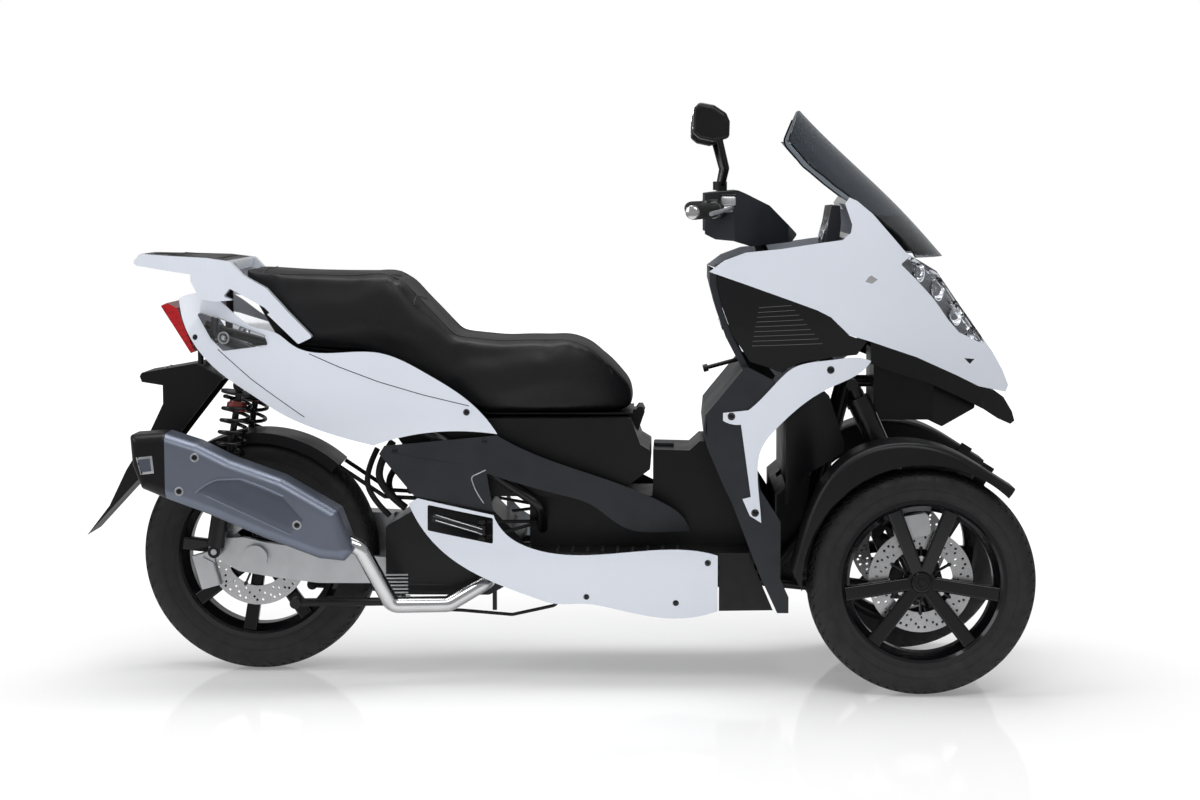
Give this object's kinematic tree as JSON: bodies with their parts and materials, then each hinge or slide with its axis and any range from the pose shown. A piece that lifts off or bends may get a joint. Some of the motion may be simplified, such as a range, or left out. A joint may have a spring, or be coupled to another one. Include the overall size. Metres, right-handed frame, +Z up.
{
  "type": "three-wheel motor scooter",
  "caption": "Three-wheel tilting motor scooter with a full front fairing and windscreen, stepped seat, side muffler and grab rail; all wheels roll and the front pair steers.",
  "frame": {"origin": "on the floor under the middle of the outline", "axes": "+X forward, +Y to the rider's left, +Z up"},
  "size_m": [2.24, 0.796, 1.3503],
  "materials": {
    "gloss_white": "gloss",
    "dark_plastic": "satin",
    "gloss_black": "gloss",
    "black_paint": "satin",
    "wheel_black": "gloss",
    "alloy": "satin",
    "steel": "satin",
    "spring_steel": "gloss",
    "tyre": "matt",
    "seat_vinyl": "satin",
    "rubber": "matt",
    "clear_lens": "gloss",
    "smoked_screen": "gloss",
    "red_lens": "gloss"
  },
  "bodies": {
    "chassis": {"main_frame": "black_paint", "front_suspension": "black_paint", "front_struts": "black_paint", "engine_block": "black_paint", "transmission_case": "alloy", "rear_arm": "alloy", "rear_caliper": "alloy", "rear_shocks": "black_paint", "rear_springs": "spring_steel", "exhaust_pipe": "steel", "muffler": "black_paint", "muffler_cap": "black_paint", "rear_hugger": "dark_plastic", "plate_holder": "dark_plastic", "tail_lamp": "red_lens", "rear_indicators": "clear_lens", "grab_rail": "gloss_white", "rear_panels": "gloss_white", "seat_tub": "dark_plastic", "footwell": "dark_plastic", "mid_panels": "dark_plastic", "lower_panels": "gloss_white", "leg_shield": "dark_plastic", "front_cowl": "gloss_white", "side_cowls": "gloss_black", "shield_trims": "gloss_white", "headlamps": "clear_lens", "beak": "dark_plastic", "lower_fairing": "dark_plastic", "windscreen": "smoked_screen", "screen_base": "dark_plastic", "dash": "dark_plastic", "parking_lever": "black_paint", "under_hose": "rubber"},
    "steering": {"handlebar": "black_paint", "handlebar_cover": "dark_plastic", "grips": "rubber", "brake_levers": "alloy", "mirrors": "dark_plastic"},
    "front_knuckle_right": {"knuckle_right": "black_paint", "front_caliper_right": "alloy", "front_fender_right": "dark_plastic"},
    "front_wheel_right": {"front_tyre_right": "tyre", "front_rim_right": "wheel_black", "front_disc_right": "steel"},
    "passenger_peg_right": {"footpeg_right": "black_paint"},
    "front_knuckle_left": {"knuckle_left": "black_paint", "front_caliper_left": "alloy", "front_fender_left": "dark_plastic"},
    "front_wheel_left": {"front_tyre_left": "tyre", "front_rim_left": "wheel_black", "front_disc_left": "steel"},
    "passenger_peg_left": {"footpeg_left": "black_paint"},
    "rear_wheel": {"rear_tyre": "tyre", "rear_rim": "wheel_black", "rear_disc": "steel"},
    "seat": {"seat_cushion": "seat_vinyl", "seat_pan": "dark_plastic"},
    "stand": {"centre_stand": "black_paint"},
    "flap": {"fuel_flap": "dark_plastic"}
  },
  "joints": [
    {"name": "steering_turn", "type": "hinge", "parent": "chassis", "child": "steering", "pos_m": [0.47, 0, 1.08], "axis": [-0.4226, 0, 0.9063], "range_deg": [-30, 30]},
    {"name": "kingpin_right", "type": "hinge", "parent": "chassis", "child": "front_knuckle_right", "pos_m": [0.858, -0.24, 0.262], "axis": [-0.4226, 0, 0.9063], "range_deg": [-30, 30]},
    {"name": "front_wheel_right_roll", "type": "hinge", "parent": "front_knuckle_right", "child": "front_wheel_right", "pos_m": [0.858, -0.275, 0.262], "axis": [0, 1, 0], "continuous": true},
    {"name": "passenger_peg_right_fold", "type": "hinge", "parent": "chassis", "child": "passenger_peg_right", "pos_m": [-0.155, -0.214, 0.368], "axis": [0, 0, 1], "range_deg": [0, 80]},
    {"name": "kingpin_left", "type": "hinge", "parent": "chassis", "child": "front_knuckle_left", "pos_m": [0.858, 0.24, 0.262], "axis": [-0.4226, 0, 0.9063], "range_deg": [-30, 30]},
    {"name": "front_wheel_left_roll", "type": "hinge", "parent": "front_knuckle_left", "child": "front_wheel_left", "pos_m": [0.858, 0.275, 0.262], "axis": [0, 1, 0], "continuous": true},
    {"name": "passenger_peg_left_fold", "type": "hinge", "parent": "chassis", "child": "passenger_peg_left", "pos_m": [-0.155, 0.214, 0.368], "axis": [0, 0, -1], "range_deg": [0, 80]},
    {"name": "rear_wheel_roll", "type": "hinge", "parent": "chassis", "child": "rear_wheel", "pos_m": [-0.708, 0, 0.284], "axis": [0, 1, 0], "continuous": true},
    {"name": "seat_lift", "type": "hinge", "parent": "chassis", "child": "seat", "pos_m": [0.212, 0, 0.634], "axis": [0, 1, 0], "range_deg": [0, 70]},
    {"name": "centre_stand_fold", "type": "hinge", "parent": "chassis", "child": "stand", "pos_m": [-0.385, 0, 0.177], "axis": [0, -1, 0], "range_deg": [0, 100]},
    {"name": "fuel_flap_open", "type": "hinge", "parent": "chassis", "child": "flap", "pos_m": [0.288, 0, 0.5496], "axis": [0, 1, 0], "range_deg": [0, 90]}
  ],
  "couplings": [
    {"joint": "kingpin_right", "follows": "steering_turn", "ratio": 1},
    {"joint": "kingpin_left", "follows": "steering_turn", "ratio": 1}
  ]
}
